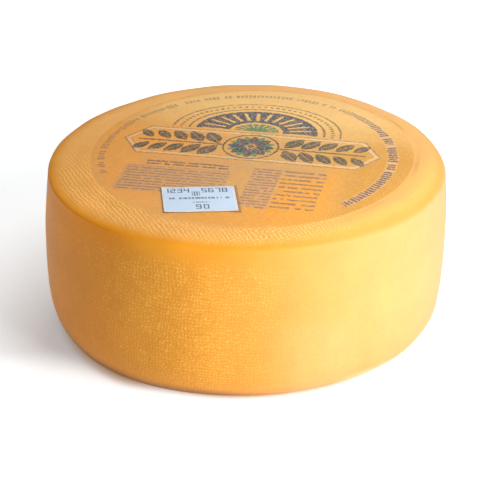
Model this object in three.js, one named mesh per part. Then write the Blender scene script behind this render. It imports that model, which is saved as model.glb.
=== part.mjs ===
// A low round wheel of semi-hard cheese, with a thin round label let into its top and a small paper
// sticker on the label. Millimetres, +Z up. The wheel stands on its flat foot, the origin is on the
// ground under the middle of the wheel's box, and the label reads upright towards +Y.
import * as THREE from "three";
import { mergeVertices } from "three/addons/utils/BufferGeometryUtils.js";

const TURN = 2 * Math.PI;
const QUARTER = Math.PI / 2;
const degrees = THREE.MathUtils.degToRad;

// The wheel
const WHEEL_RADIUS = 150; // at the fullest height of the side
const WHEEL_HEIGHT = 131;
const SIDE_BULGE = 4.3; // how far the side draws in at the top and at the foot
const SHOULDER_IN = 16; // the rounded upper edge, measured inwards
const SHOULDER_DROP = 6; // and measured down, on average
const FOOT_IN = 16; // the rounded lower edge, measured inwards, on average
const FOOT_RISE = 29; // and measured up, on average
const TOP_CROWN = 1; // the top is this much lower at the label's edge than in its middle

// The unevenness of a wheel that was pressed in cloth and turned by hand
const WORN_SIDE = degrees(13); // the direction in which the wheel leans and is most worn
const LEAN = 0.024; // sideways shift for each millimetre of height
const SHOULDER_WEAR = 4; // extra drop of the shoulder on the worn side
const FOOT_WEAR = 3; // the foot is this much further in on the worn side
const FOOT_LIFT = 11; // and its rounding ends this much lower there
const OVAL = 0.0135; // the wheel is longer by this share in one direction, and narrower across it
const OVAL_AT = degrees(23);
const THREE_SIDED = 0.011; // share of the radius in a faint three-sided form
const THREE_SIDED_AT = degrees(-17);

// The label and its sticker
const LABEL_RADIUS = 121;
const LABEL_THICKNESS = 0.3;
const LABEL_SHIFT = new THREE.Vector2(6.6, 5); // the label's middle, from the middle of the foot
const GAP = 0.3; // between a skin and what it lies on
const LABEL_PROUD = 0.1; // the label's face stands this much above the rind round it
const STICKER_WIDTH = 52.5;
const STICKER_LENGTH = 38.3;
const STICKER_THICKNESS = 0.25;
const STICKER_AT = new THREE.Vector2(-20, -83.8); // its middle, from the label's middle
const STICKER_TURN = degrees(13);
const STICKER_SKEW = degrees(5); // its short edges are cut this much out of square

// How finely the surfaces are divided
const SECTORS = 96;
const ARC_STEPS = 7;
const SIDE_STEPS = 8;
const CROWN_STEPS = 4;
const STICKER_STEPS = 8;

const RECESS_DEPTH = LABEL_THICKNESS + GAP - LABEL_PROUD;
const RECESS_RADIUS = LABEL_RADIUS + GAP;

// Height of the rind's top, by the distance from the label's middle.
function topHeight(distance) {
  return WHEEL_HEIGHT - TOP_CROWN * (distance / LABEL_RADIUS) ** 2;
}

// 1 on the worn side, -1 opposite it.
function wear(angle) {
  return Math.cos(angle - WORN_SIDE);
}

// The wheel's outline as a share of a true circle's radius.
function outOfRound(angle) {
  const oval = OVAL * Math.cos(2 * (angle - OVAL_AT));
  return 1 + oval + THREE_SIDED * Math.cos(3 * (angle - THREE_SIDED_AT));
}

// How far the barrel-shaped side is drawn in at a height.
function drawnIn(height) {
  return SIDE_BULGE * (2 * height / WHEEL_HEIGHT - 1) ** 2;
}

// A point of the outside, from its angle, its nominal radius and its height.
function outerPoint(angle, radius, height) {
  const r = (radius - drawnIn(height)) * outOfRound(angle);
  const x = r * Math.cos(angle) + LEAN * height * Math.cos(WORN_SIDE);
  const y = r * Math.sin(angle) + LEAN * height * Math.sin(WORN_SIDE);
  return new THREE.Vector3(x, y, height);
}

// A point round the label's middle.
function labelPoint(angle, radius, height) {
  const x = LABEL_SHIFT.x + radius * Math.cos(angle);
  const y = LABEL_SHIFT.y + radius * Math.sin(angle);
  return new THREE.Vector3(x, y, height);
}

// The height at which the flat rim of the top meets the rounded shoulder.
const RIM_HEIGHT = topHeight(WHEEL_RADIUS - SHOULDER_IN);

function shoulderPoint(angle, share) {
  const drop = SHOULDER_DROP + SHOULDER_WEAR * wear(angle);
  const radius = WHEEL_RADIUS - SHOULDER_IN * (1 - Math.sin(share * QUARTER));
  return outerPoint(angle, radius, RIM_HEIGHT - drop * (1 - Math.cos(share * QUARTER)));
}

function footRise(angle) {
  return FOOT_RISE - FOOT_LIFT * wear(angle);
}

function sidePoint(angle, share) {
  const top = RIM_HEIGHT - SHOULDER_DROP - SHOULDER_WEAR * wear(angle);
  return outerPoint(angle, WHEEL_RADIUS, THREE.MathUtils.lerp(top, footRise(angle), share));
}

function footPoint(angle, share) {
  const inwards = FOOT_IN + FOOT_WEAR * wear(angle);
  const radius = WHEEL_RADIUS - inwards * (1 - Math.cos(share * QUARTER));
  return outerPoint(angle, radius, footRise(angle) * (1 - Math.sin(share * QUARTER)));
}

// Shares from 1/steps to 1.
function shares(steps) {
  return Array.from({ length: steps }, (_, i) => (i + 1) / steps);
}

// The rings of the wheel from the middle of its top, over the side, to the middle of its foot.
function wheelRings() {
  const recess = shares(CROWN_STEPS).map((share) => (angle) => {
    const radius = share * RECESS_RADIUS;
    return labelPoint(angle, radius, topHeight(radius) - RECESS_DEPTH);
  });
  const step = (angle) => labelPoint(angle, RECESS_RADIUS, topHeight(RECESS_RADIUS));
  const rim = (angle) => shoulderPoint(angle, 0);
  const shoulder = shares(ARC_STEPS).map((share) => (angle) => shoulderPoint(angle, share));
  const side = shares(SIDE_STEPS).map((share) => (angle) => sidePoint(angle, share));
  const foot = shares(ARC_STEPS).map((share) => (angle) => footPoint(angle, share));
  return [...recess, step, rim, ...shoulder, ...side, ...foot];
}

// A closed solid through rings of points, with a pole at each end.
function loft(rings, first, last) {
  const points = [first];
  for (const ring of rings) {
    for (let i = 0; i < SECTORS; i++) points.push(ring((i / SECTORS) * TURN));
  }
  points.push(last);
  const at = (row, i) => 1 + row * SECTORS + (i % SECTORS);
  const index = [];
  for (let i = 0; i < SECTORS; i++) {
    index.push(0, at(0, i), at(0, i + 1));
    index.push(points.length - 1, at(rings.length - 1, i + 1), at(rings.length - 1, i));
    for (let row = 0; row + 1 < rings.length; row++) {
      index.push(at(row, i), at(row + 1, i), at(row + 1, i + 1));
      index.push(at(row, i), at(row + 1, i + 1), at(row, i + 1));
    }
  }
  const geometry = new THREE.BufferGeometry().setFromPoints(points);
  geometry.setIndex(index);
  geometry.computeVertexNormals();
  return geometry;
}

function wheelGeometry() {
  const top = labelPoint(0, 0, topHeight(0) - RECESS_DEPTH);
  return loft(wheelRings(), top, new THREE.Vector3(0, 0, 0));
}

// A thin disc that follows the crown of the top.
function labelGeometry() {
  const lower = [0, ...shares(CROWN_STEPS)].map((share) => {
    const radius = share * LABEL_RADIUS;
    return new THREE.Vector2(radius, topHeight(radius) - RECESS_DEPTH + GAP);
  });
  const upper = lower.map((p) => new THREE.Vector2(p.x, p.y + LABEL_THICKNESS)).reverse();
  const geometry = new THREE.LatheGeometry([...lower, ...upper], SECTORS);
  return geometry.rotateX(QUARTER);
}

// A thin rectangle that follows the label under it.
function stickerGeometry() {
  const size = [STICKER_WIDTH, STICKER_LENGTH, STICKER_THICKNESS];
  const geometry = new THREE.BoxGeometry(...size, STICKER_STEPS, STICKER_STEPS, 1);
  geometry.applyMatrix4(new THREE.Matrix4().makeShear(0, 0, -Math.tan(STICKER_SKEW), 0, 0, 0));
  geometry.rotateZ(STICKER_TURN).translate(STICKER_AT.x, STICKER_AT.y, STICKER_THICKNESS / 2);
  const points = geometry.attributes.position;
  for (let i = 0; i < points.count; i++) {
    const distance = Math.hypot(points.getX(i), points.getY(i));
    const labelFace = topHeight(distance) - RECESS_DEPTH + GAP + LABEL_THICKNESS;
    points.setZ(i, labelFace + GAP + points.getZ(i));
  }
  geometry.deleteAttribute("uv");
  geometry.deleteAttribute("normal");
  const closed = mergeVertices(geometry);
  closed.computeVertexNormals();
  return closed;
}

const rind = new THREE.MeshStandardMaterial({
  name: "rind",
  color: 0xf0b04e,
  roughness: 0.5,
  metalness: 0,
});
const printedLabel = new THREE.MeshStandardMaterial({
  name: "printed_label",
  color: 0xe8ae62,
  roughness: 0.55,
  metalness: 0,
});
const stickerPaper = new THREE.MeshStandardMaterial({
  name: "sticker_paper",
  color: 0xc7d6dc,
  roughness: 0.7,
  metalness: 0,
});

function namedMesh(name, geometry, material) {
  const mesh = new THREE.Mesh(geometry, material);
  mesh.name = name;
  return mesh;
}

const label = new THREE.Group();
label.add(namedMesh("round_label", labelGeometry(), printedLabel));
label.add(namedMesh("date_sticker", stickerGeometry(), stickerPaper));
label.position.set(LABEL_SHIFT.x, LABEL_SHIFT.y, 0);

// The lean puts the wheel's box a little off its foot, and this group brings it over the origin.
const wheel = new THREE.Group();
wheel.add(namedMesh("cheese_wheel", wheelGeometry(), rind), label);
const middle = new THREE.Box3().setFromObject(wheel).getCenter(new THREE.Vector3());
wheel.position.set(-middle.x, -middle.y, 0);

const cheese = new THREE.Group();
cheese.name = "cheese";
cheese.add(wheel);

export default cheese;
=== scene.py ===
"""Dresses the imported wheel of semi-hard cheese: its cloth-marked rind, printed label and paper sticker.

Metres, +Z up. The wheel stands on its foot over the origin, and the label reads upright towards +Y.
"""
import logging
import math
from dataclasses import dataclass, field
from enum import Enum
from typing import Any

import bpy
import numpy as np
from mathutils import Matrix, Vector


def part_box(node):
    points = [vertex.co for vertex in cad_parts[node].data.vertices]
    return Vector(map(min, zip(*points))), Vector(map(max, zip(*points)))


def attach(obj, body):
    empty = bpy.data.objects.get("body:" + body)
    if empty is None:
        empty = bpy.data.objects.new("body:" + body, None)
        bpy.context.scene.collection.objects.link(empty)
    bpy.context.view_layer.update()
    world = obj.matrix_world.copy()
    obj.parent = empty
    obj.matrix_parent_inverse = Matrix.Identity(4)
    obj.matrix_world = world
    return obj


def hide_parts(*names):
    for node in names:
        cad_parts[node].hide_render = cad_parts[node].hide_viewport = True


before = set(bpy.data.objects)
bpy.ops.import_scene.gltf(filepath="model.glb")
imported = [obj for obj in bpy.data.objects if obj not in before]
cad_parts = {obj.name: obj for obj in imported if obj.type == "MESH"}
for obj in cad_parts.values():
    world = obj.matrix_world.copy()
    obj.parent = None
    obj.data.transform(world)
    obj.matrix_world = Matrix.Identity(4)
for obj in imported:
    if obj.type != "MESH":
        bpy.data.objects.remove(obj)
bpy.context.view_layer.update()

MM = 0.001
TURN = 2 * math.pi
QUARTER = TURN / 4
LOG = logging.getLogger("cheese")
Colour = tuple[float, float, float]
Edges = tuple[float, float, float, float]  # a rectangle's left, right, lower and upper edge
Corners = tuple[np.ndarray, np.ndarray, np.ndarray]  # of faces, as Loft.corners gives them


def srgb(red: int, green: int, blue: int) -> Colour:
    """Turns a colour of 0 to 255 on screen into the linear shares that a shader takes.

    Args:
        red: The red of the screen colour.
        green: Its green.
        blue: Its blue.

    Returns:
        The linear red, green and blue, from 0 to 1.
    """
    shares = [part / 255 for part in (red, green, blue)]
    linear = [s / 12.92 if s <= 0.04045 else ((s + 0.055) / 1.055) ** 2.4 for s in shares]
    return linear[0], linear[1], linear[2]


def smooth_step(value: np.ndarray, low: float, high: float) -> np.ndarray:
    """Rises from 0 at low to 1 at high along t * t * (3 - 2 t), t being the clipped share of the way.

    Args:
        value: The numbers to grade.
        low: Where the rise starts.
        high: Where it ends.

    Returns:
        The graded numbers.
    """
    t = np.clip((value - low) / (high - low), 0, 1)
    return t * t * (3 - 2 * t)


class Value:
    """A socket that carries numbers. Its operators add Math nodes to the same shader."""

    def __init__(self, shader: "Shader", socket: bpy.types.NodeSocket) -> None:
        """Wraps a socket of that shader."""
        self.shader = shader
        self.socket = socket

    def __add__(self, other: "Value | float") -> "Value":
        """Adds."""
        return self.shader.math("ADD", self, other)

    def __radd__(self, other: float) -> "Value":
        """Adds to a number."""
        return self.shader.math("ADD", other, self)

    def __sub__(self, other: "Value | float") -> "Value":
        """Subtracts."""
        return self.shader.math("SUBTRACT", self, other)

    def __rsub__(self, other: float) -> "Value":
        """Subtracts from a number."""
        return self.shader.math("SUBTRACT", other, self)

    def __mul__(self, other: "Value | float") -> "Value":
        """Multiplies."""
        return self.shader.math("MULTIPLY", self, other)

    def __rmul__(self, other: float) -> "Value":
        """Multiplies a number."""
        return self.shader.math("MULTIPLY", other, self)

    def __truediv__(self, other: "Value | float") -> "Value":
        """Divides."""
        return self.shader.math("DIVIDE", self, other)

    def __mod__(self, other: "Value | float") -> "Value":
        """Gives what is left over above a whole number of steps, also below zero."""
        return self.shader.math("FLOORED_MODULO", self, other)

    def __neg__(self) -> "Value":
        """Turns the sign."""
        return self.shader.math("MULTIPLY", self, -1.0)

    def __abs__(self) -> "Value":
        """Drops the sign."""
        return self.shader.math("ABSOLUTE", self)


class Shader:
    """One material's nodes, made from a Principled shader outwards."""

    def __init__(self, name: str) -> None:
        """Starts an empty material.

        Args:
            name: The material's name.
        """
        self.material = bpy.data.materials.new(name)
        self.material.use_nodes = True
        self.tree = self.material.node_tree
        self.tree.nodes.clear()

    @classmethod
    def of_tree(cls, tree: bpy.types.NodeTree) -> "Shader":
        """Starts on the tree of something that isn't a material, such as the surroundings.

        Args:
            tree: The tree, which is emptied first.

        Returns:
            A shader on that tree.
        """
        shader = cls.__new__(cls)
        shader.material, shader.tree = None, tree
        tree.nodes.clear()
        return shader

    def plug(self, socket: bpy.types.NodeSocket, value: Any) -> None:
        """Links something into a socket or sets the socket.

        Args:
            socket: The socket, on one of the shader's nodes.
            value: A Value or a socket to link, or a number, a vector or a colour to set.
        """
        if isinstance(value, Value):
            self.tree.links.new(value.socket, socket)
        elif isinstance(value, bpy.types.NodeSocket):
            self.tree.links.new(value, socket)
        elif socket.type == "RGBA":
            socket.default_value = (*value, 1.0)
        else:
            socket.default_value = value

    def node(
        self,
        kind: str,
        settings: dict[str, Any] | None = None,
        sockets: dict[str | int, Any] | None = None,
    ) -> bpy.types.Node:
        """Adds any node.

        Args:
            kind: The node's Blender type.
            settings: Its settings, which are set first. A ramp's stops are pairs of place and number.
            sockets: Values or links of its sockets, by name or by number.

        Returns:
            The node.
        """
        node = self.tree.nodes.new(kind)
        for name, setting in (settings or {}).items():
            if name == "stops":
                self._set_stops(node.color_ramp, setting)
            else:
                setattr(node, name, setting)
        for key, value in (sockets or {}).items():
            self.plug(node.inputs[key], value)
        return node

    @staticmethod
    def _set_stops(ramp: bpy.types.ColorRamp, stops: list[tuple[float, float]]) -> None:
        """Gives a ramp steps of grey, each held until the next.

        Args:
            ramp: The ramp of a node.
            stops: Pairs of place and grey.
        """
        ramp.interpolation = "CONSTANT"
        while len(ramp.elements) < len(stops):
            ramp.elements.new(1.0)
        for element, (place, grey) in zip(ramp.elements, stops):
            element.position = place
            element.color = (grey, grey, grey, 1.0)

    def math(self, operation: str, *values: "Value | float") -> Value:
        """Adds a Math node and gives its result."""
        sockets = dict(enumerate(values))
        return Value(self, self.node("ShaderNodeMath", {"operation": operation}, sockets).outputs[0])

    def smallest(self, a: "Value | float", b: "Value | float") -> Value:
        """The smaller of two numbers."""
        return self.math("MINIMUM", a, b)

    def largest(self, first: "Value | float", *others: "Value | float") -> Value:
        """The largest of several numbers.

        Args:
            first: One of them.
            others: The rest.

        Returns:
            The largest.
        """
        for other in others:
            first = self.math("MAXIMUM", first, other)
        return first

    def ramp_up(self, value: Value, low: float, high: float) -> Value:
        """Grades a number smoothly, along t * t * (3 - 2 t).

        Args:
            value: The number.
            low: Where the result is 0.
            high: Where it is 1, on either side of low.

        Returns:
            The graded number, from 0 to 1.
        """
        settings = {"interpolation_type": "SMOOTHSTEP"}
        flip = low > high
        ends = {1: min(low, high), 2: max(low, high), 3: float(flip), 4: float(not flip)}
        return Value(self, self.node("ShaderNodeMapRange", settings, {0: value, **ends}).outputs[0])

    def inside(self, distance: Value, soft: float = 0.3) -> Value:
        """1 where a signed distance is below zero, with an edge as soft as the number says."""
        return self.ramp_up(distance, soft, -soft)

    def stroke(self, distance: Value, half_width: float, soft: float = 0.3) -> Value:
        """1 on a line along a shape's edge, with half its width on either side."""
        return self.inside(abs(distance) - half_width, soft)

    def mix(self, share: "Value | float", a: Any, b: Any) -> bpy.types.NodeSocket:
        """Goes from colour a to colour b as the share goes from 0 to 1."""
        node = self.node("ShaderNodeMix", {"data_type": "RGBA"}, {0: share, 6: a, 7: b})
        return node.outputs[2]

    def tinted(self, colour: Any, strength: Value) -> bpy.types.NodeSocket:
        """Multiplies a colour by a number."""
        node = self.node("ShaderNodeVectorMath", {"operation": "SCALE"}, {0: colour, "Scale": strength})
        return node.outputs[0]

    def noise(self, place: Any, size: float, detail: float = 2.0, roughness: float = 0.5) -> Value:
        """Soft noise from 0 to 1, whose patches are about as wide as size, in the units of place."""
        sockets = {"Vector": place, "Scale": 1 / size, "Detail": detail, "Roughness": roughness}
        return Value(self, self.node("ShaderNodeTexNoise", {}, sockets).outputs[0])

    def noises(self, place: Any, size: float, detail: float = 1.0) -> tuple[Value, Value, Value]:
        """Three soft noises from 0 to 1 that are unlike each other, all with patches of that size."""
        sockets = {"Vector": place, "Scale": 1 / size, "Detail": detail}
        return self.parts(self.node("ShaderNodeTexNoise", {}, sockets).outputs[1])

    def chance(self, place: Any) -> Value:
        """A number from 0 to 1 that is unlike its neighbours', for each whole place."""
        return Value(self, self.node("ShaderNodeTexWhiteNoise", {}, {"Vector": place}).outputs[0])

    def vector(self, x: Any, y: Any, z: Any = 0.0) -> bpy.types.NodeSocket:
        """Joins three numbers into a vector."""
        return self.node("ShaderNodeCombineXYZ", {}, {0: x, 1: y, 2: z}).outputs[0]

    def parts(self, vector: Any) -> tuple[Value, Value, Value]:
        """Parts a vector into its three numbers."""
        out = self.node("ShaderNodeSeparateXYZ", {}, {0: vector}).outputs
        return Value(self, out[0]), Value(self, out[1]), Value(self, out[2])

    def place(self) -> bpy.types.NodeSocket:
        """The point on the surface in the part's frame, in metres."""
        return self.node("ShaderNodeTexCoord").outputs["Object"]

    def local_place(self, middle: tuple[float, float]) -> bpy.types.NodeSocket:
        """The point on the surface in millimetres from a middle.

        Args:
            middle: The x and y of the middle, in metres.

        Returns:
            The place.
        """
        settings = {"vector_type": "TEXTURE"}
        sockets = {
            "Vector": self.place(),
            "Location": (*middle, 0.0),
            "Scale": (MM, MM, MM),
        }
        return self.node("ShaderNodeMapping", settings, sockets).outputs[0]

    def attribute(self, name: str) -> Value:
        """A number that the mesh carries at each of its points."""
        return Value(self, self.node("ShaderNodeAttribute", {"attribute_name": name}).outputs["Fac"])

    def map_place(self, name: str) -> tuple[Value, Value]:
        """Both numbers of the mesh's map of that name."""
        u, v, _ = self.parts(self.node("ShaderNodeUVMap", {"uv_map": name}).outputs[0])
        return u, v

    def bump(self, height: Value, distance: float, below: Any = None) -> bpy.types.NodeSocket:
        """Turns a height from 0 to 1 into a normal.

        Args:
            height: The height.
            distance: The height of 1 in metres.
            below: The normal of a coarser relief that this one lies on.

        Returns:
            The normal.
        """
        sockets = {"Height": height, "Distance": distance, "Strength": 1.0}
        if below is not None:
            sockets["Normal"] = below
        return self.node("ShaderNodeBump", {}, sockets).outputs[0]

    def finish(self, sockets: dict[str, Any]) -> bpy.types.Material:
        """Adds the Principled shader.

        Args:
            sockets: Values or links of its sockets, by name.

        Returns:
            The finished material.
        """
        surface = self.node("ShaderNodeBsdfPrincipled", {}, sockets).outputs[0]
        self.node("ShaderNodeOutputMaterial", {}, {"Surface": surface})
        return self.material


@dataclass(frozen=True)
class Loft:
    """A closed skin through rings of points, with a pole at each end.

    Attributes:
        rings: Points by ring, by column and by x, y and z. Each ring runs anticlockwise from above.
        first: The pole before the first ring.
        last: The pole after the last ring.
    """

    rings: np.ndarray
    first: np.ndarray
    last: np.ndarray

    def corners(self) -> Corners:
        """Where every corner of every face lies: the triangles of a pole, the quads, the other's.

        Returns:
            Each corner's ring, -1 and one past the last ring being the poles, its column, which
            runs on to the full count at the seam, and the first ring of the face it belongs to.
        """
        rows, columns = self.rings.shape[:2]
        column = np.arange(columns)
        zero = np.zeros(columns)
        grid = np.meshgrid(np.arange(rows - 1), column, indexing="ij")
        row, across = (part[..., None] for part in grid)
        ring = [
            np.stack([zero - 1, zero, zero], 1),
            row + np.array([0, 1, 1, 0]),
            np.stack([zero + rows, zero + rows - 1, zero + rows - 1], 1),
        ]
        along = [
            np.stack([column + 0.5, column, column + 1], 1),
            across + np.array([0, 0, 1, 1]),
            np.stack([column + 0.5, column + 1, column], 1),
        ]
        start = [np.full((columns, 3), -1), row + np.zeros(4), np.full((columns, 3), rows - 1)]
        joined = (np.concatenate([part.ravel() for part in parts]) for parts in (ring, along, start))
        return tuple(joined)

    def points(self) -> np.ndarray:
        """All points in the order of the mesh: the first pole, the rings, the last pole."""
        return np.concatenate([self.first[None], self.rings.reshape(-1, 3), self.last[None]])

    def piece(
        self,
        name: str,
        maps: dict[str, np.ndarray] | None = None,
        numbers: dict[str, np.ndarray] | None = None,
    ) -> bpy.types.Object:
        """Makes the skin an object at the origin.

        Args:
            name: The object's name.
            maps: Maps by name, each with two numbers for every corner.
            numbers: Attributes by name, each with a number for every point.

        Returns:
            The object, in the scene.
        """
        rows, columns = self.rings.shape[:2]
        ring, along, _ = self.corners()
        vertex = 1 + ring * columns + along.astype(int) % columns
        vertex = np.where(ring < 0, 0, np.where(ring >= rows, 1 + rows * columns, vertex)).astype(int)
        pole = 3 * columns
        faces = [
            *vertex[:pole].reshape(-1, 3).tolist(),
            *vertex[pole:-pole].reshape(-1, 4).tolist(),
            *vertex[-pole:].reshape(-1, 3).tolist(),
        ]
        mesh = bpy.data.meshes.new(name)
        mesh.from_pydata(self.points().tolist(), [], faces)
        mesh.polygons.foreach_set("use_smooth", np.ones(len(faces), bool))
        for map_name, places in (maps or {}).items():
            layer = mesh.uv_layers.new(name=map_name)
            layer.data.foreach_set("uv", places.astype(np.float32).ravel())
        for number_name, values in (numbers or {}).items():
            attribute = mesh.attributes.new(number_name, "FLOAT", "POINT")
            attribute.data.foreach_set("value", values.astype(np.float32).ravel())
        mesh.update()
        piece = bpy.data.objects.new(name, mesh)
        bpy.context.scene.collection.objects.link(piece)
        return piece


@dataclass(frozen=True)
class Relief:
    """The soft unevenness of a hand-turned rind.

    A sum of sine waves of fixed random directions, lengths and phases, each as high as it is long.
    """

    seed: int = 11
    waves: int = 48
    shortest: float = 0.022
    longest: float = 0.130
    height: float = 0.00040

    def at(self, points: np.ndarray) -> np.ndarray:
        """How far each point stands out.

        Args:
            points: Points with x, y and z last.

        Returns:
            Heights in metres, about as often below zero as above.
        """
        chance = np.random.default_rng(self.seed)
        way = chance.normal(size=(self.waves, 3))
        way /= np.linalg.norm(way, axis=1, keepdims=True)
        length = np.exp(chance.uniform(math.log(self.shortest), math.log(self.longest), self.waves))
        phase = chance.uniform(0, TURN, self.waves)
        size = length / np.linalg.norm(length)
        return self.height * np.sin(points @ (way * (TURN / length)[:, None]).T + phase) @ size


@dataclass(frozen=True)
class WheelForm:
    """The wheel's outside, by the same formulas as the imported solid.

    Angles run anticlockwise from +X, and shares run downwards and inwards over a band.
    """

    radius: float = 150 * MM
    height: float = 131 * MM
    side_bulge: float = 4.3 * MM
    shoulder_in: float = 16 * MM
    shoulder_drop: float = 6 * MM
    foot_in: float = 16 * MM
    foot_rise: float = 29 * MM
    top_crown: float = 1 * MM
    worn_side: float = math.radians(13)
    lean: float = 0.024
    shoulder_wear: float = 4 * MM
    foot_wear: float = 3 * MM
    foot_lift: float = 11 * MM
    oval: float = 0.0135
    oval_at: float = math.radians(23)
    three_sided: float = 0.011
    three_sided_at: float = math.radians(-17)
    label_radius: float = 121 * MM
    label_shift: tuple[float, float] = (6.6 * MM, 5 * MM)
    label_proud: float = 0.1 * MM
    recess_depth: float = 0.5 * MM
    recess_radius: float = 121.3 * MM

    def label_middle(self) -> np.ndarray:
        """The label's middle in the part's frame, x and y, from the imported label's box."""
        low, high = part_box("round_label")
        return np.array([(low.x + high.x) / 2, (low.y + high.y) / 2])

    def foot_middle(self) -> np.ndarray:
        """The middle of the foot in the part's frame, x and y."""
        return self.label_middle() - np.array(self.label_shift)

    def top_height(self, distance: np.ndarray | float) -> np.ndarray | float:
        """Height of the top, which falls by the square of the distance from the label's middle."""
        return self.height - self.top_crown * (distance / self.label_radius) ** 2

    def wear(self, angle: np.ndarray) -> np.ndarray:
        """1 on the worn side and -1 opposite it, as a cosine."""
        return np.cos(angle - self.worn_side)

    def out_of_round(self, angle: np.ndarray) -> np.ndarray:
        """The outline as a share of a circle: 1 plus a two-lobed and a three-lobed cosine."""
        oval = self.oval * np.cos(2 * (angle - self.oval_at))
        return 1 + oval + self.three_sided * np.cos(3 * (angle - self.three_sided_at))

    def outer_point(self, angle: np.ndarray, radius: np.ndarray, height: np.ndarray) -> np.ndarray:
        """A point of the outside: the radius less the side's parabola, out of round, and leaning.

        Args:
            angle: Its angle.
            radius: Its distance from the axis before those changes.
            height: Its height.

        Returns:
            The points, with x, y and z last.
        """
        angle, radius, height = np.broadcast_arrays(angle, radius, height)
        drawn_in = self.side_bulge * (2 * height / self.height - 1) ** 2
        out = (radius - drawn_in) * self.out_of_round(angle)
        x0, y0 = self.foot_middle()
        x = x0 + out * np.cos(angle) + self.lean * height * math.cos(self.worn_side)
        y = y0 + out * np.sin(angle) + self.lean * height * math.sin(self.worn_side)
        return np.stack([x, y, height], -1)

    def label_point(self, angle: np.ndarray, radius: np.ndarray, height: np.ndarray) -> np.ndarray:
        """A point on a circle round the label's middle.

        Args:
            angle: Its angle.
            radius: Its distance from the label's middle.
            height: Its height.

        Returns:
            The points, with x, y and z last.
        """
        angle, radius, height = np.broadcast_arrays(angle, radius, height)
        x0, y0 = self.label_middle()
        return np.stack([x0 + radius * np.cos(angle), y0 + radius * np.sin(angle), height], -1)

    def rim_height(self) -> float:
        """The height at which the top meets the rounded shoulder."""
        return self.top_height(self.radius - self.shoulder_in)

    def shoulder(self, angle: np.ndarray, share: np.ndarray) -> np.ndarray:
        """The rounded upper edge: a quarter of an ellipse from the rim outwards and down.

        Args:
            angle: Angles round the wheel.
            share: Shares of the way from the rim to the side.

        Returns:
            The points, with x, y and z last.
        """
        drop = self.shoulder_drop + self.shoulder_wear * self.wear(angle)
        radius = self.radius - self.shoulder_in * (1 - np.sin(share * QUARTER))
        height = self.rim_height() - drop * (1 - np.cos(share * QUARTER))
        return self.outer_point(angle, radius, height)

    def foot_top(self, angle: np.ndarray) -> np.ndarray:
        """The height at which the rounded lower edge starts."""
        return self.foot_rise - self.foot_lift * self.wear(angle)

    def side(self, angle: np.ndarray, share: np.ndarray) -> np.ndarray:
        """The upright side, evenly from the shoulder down to the rounded lower edge."""
        top = self.rim_height() - self.shoulder_drop - self.shoulder_wear * self.wear(angle)
        return self.outer_point(angle, self.radius, top + (self.foot_top(angle) - top) * share)

    def foot(self, angle: np.ndarray, share: np.ndarray) -> np.ndarray:
        """The rounded lower edge: a quarter of an ellipse inwards and down to the ground.

        Args:
            angle: Angles round the wheel.
            share: Shares of the way from the side to the flat underside.

        Returns:
            The points, with x, y and z last.
        """
        inwards = self.foot_in + self.foot_wear * self.wear(angle)
        radius = self.radius - inwards * (1 - np.cos(share * QUARTER))
        return self.outer_point(angle, radius, self.foot_top(angle) * (1 - np.sin(share * QUARTER)))


class Band(Enum):
    """The bands of the wheel's skin, from the middle of the top to the middle of the foot.

    The value is where a band starts on the scale of the mesh's zone numbers, which the rind reads.
    """

    RECESS = -1
    RIM = 0
    SHOULDER = 1
    SIDE = 2
    FOOT = 3
    BASE = 4


@dataclass(frozen=True)
class RindSpot:
    """What the rind's finish reads at each point of the skin.

    Attributes:
        place: The point in the part's frame, in metres.
        x: Its place across the label's print.
        y: Its place up the print.
        zone: Its zone number, on the scale of Band.
        on_top: 1 on the flat top, falling to 0 over the shoulder.
        on_side: 1 on the side and the foot, falling to 0 where the shoulder ends.
        patches: Slow noise from 0 to 1.
        mottle: Noise from 0 to 1 with patches about as wide as a thumb.
    """

    place: bpy.types.NodeSocket
    x: Value
    y: Value
    zone: Value
    on_top: Value
    on_side: Value
    patches: Value
    mottle: Value


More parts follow.
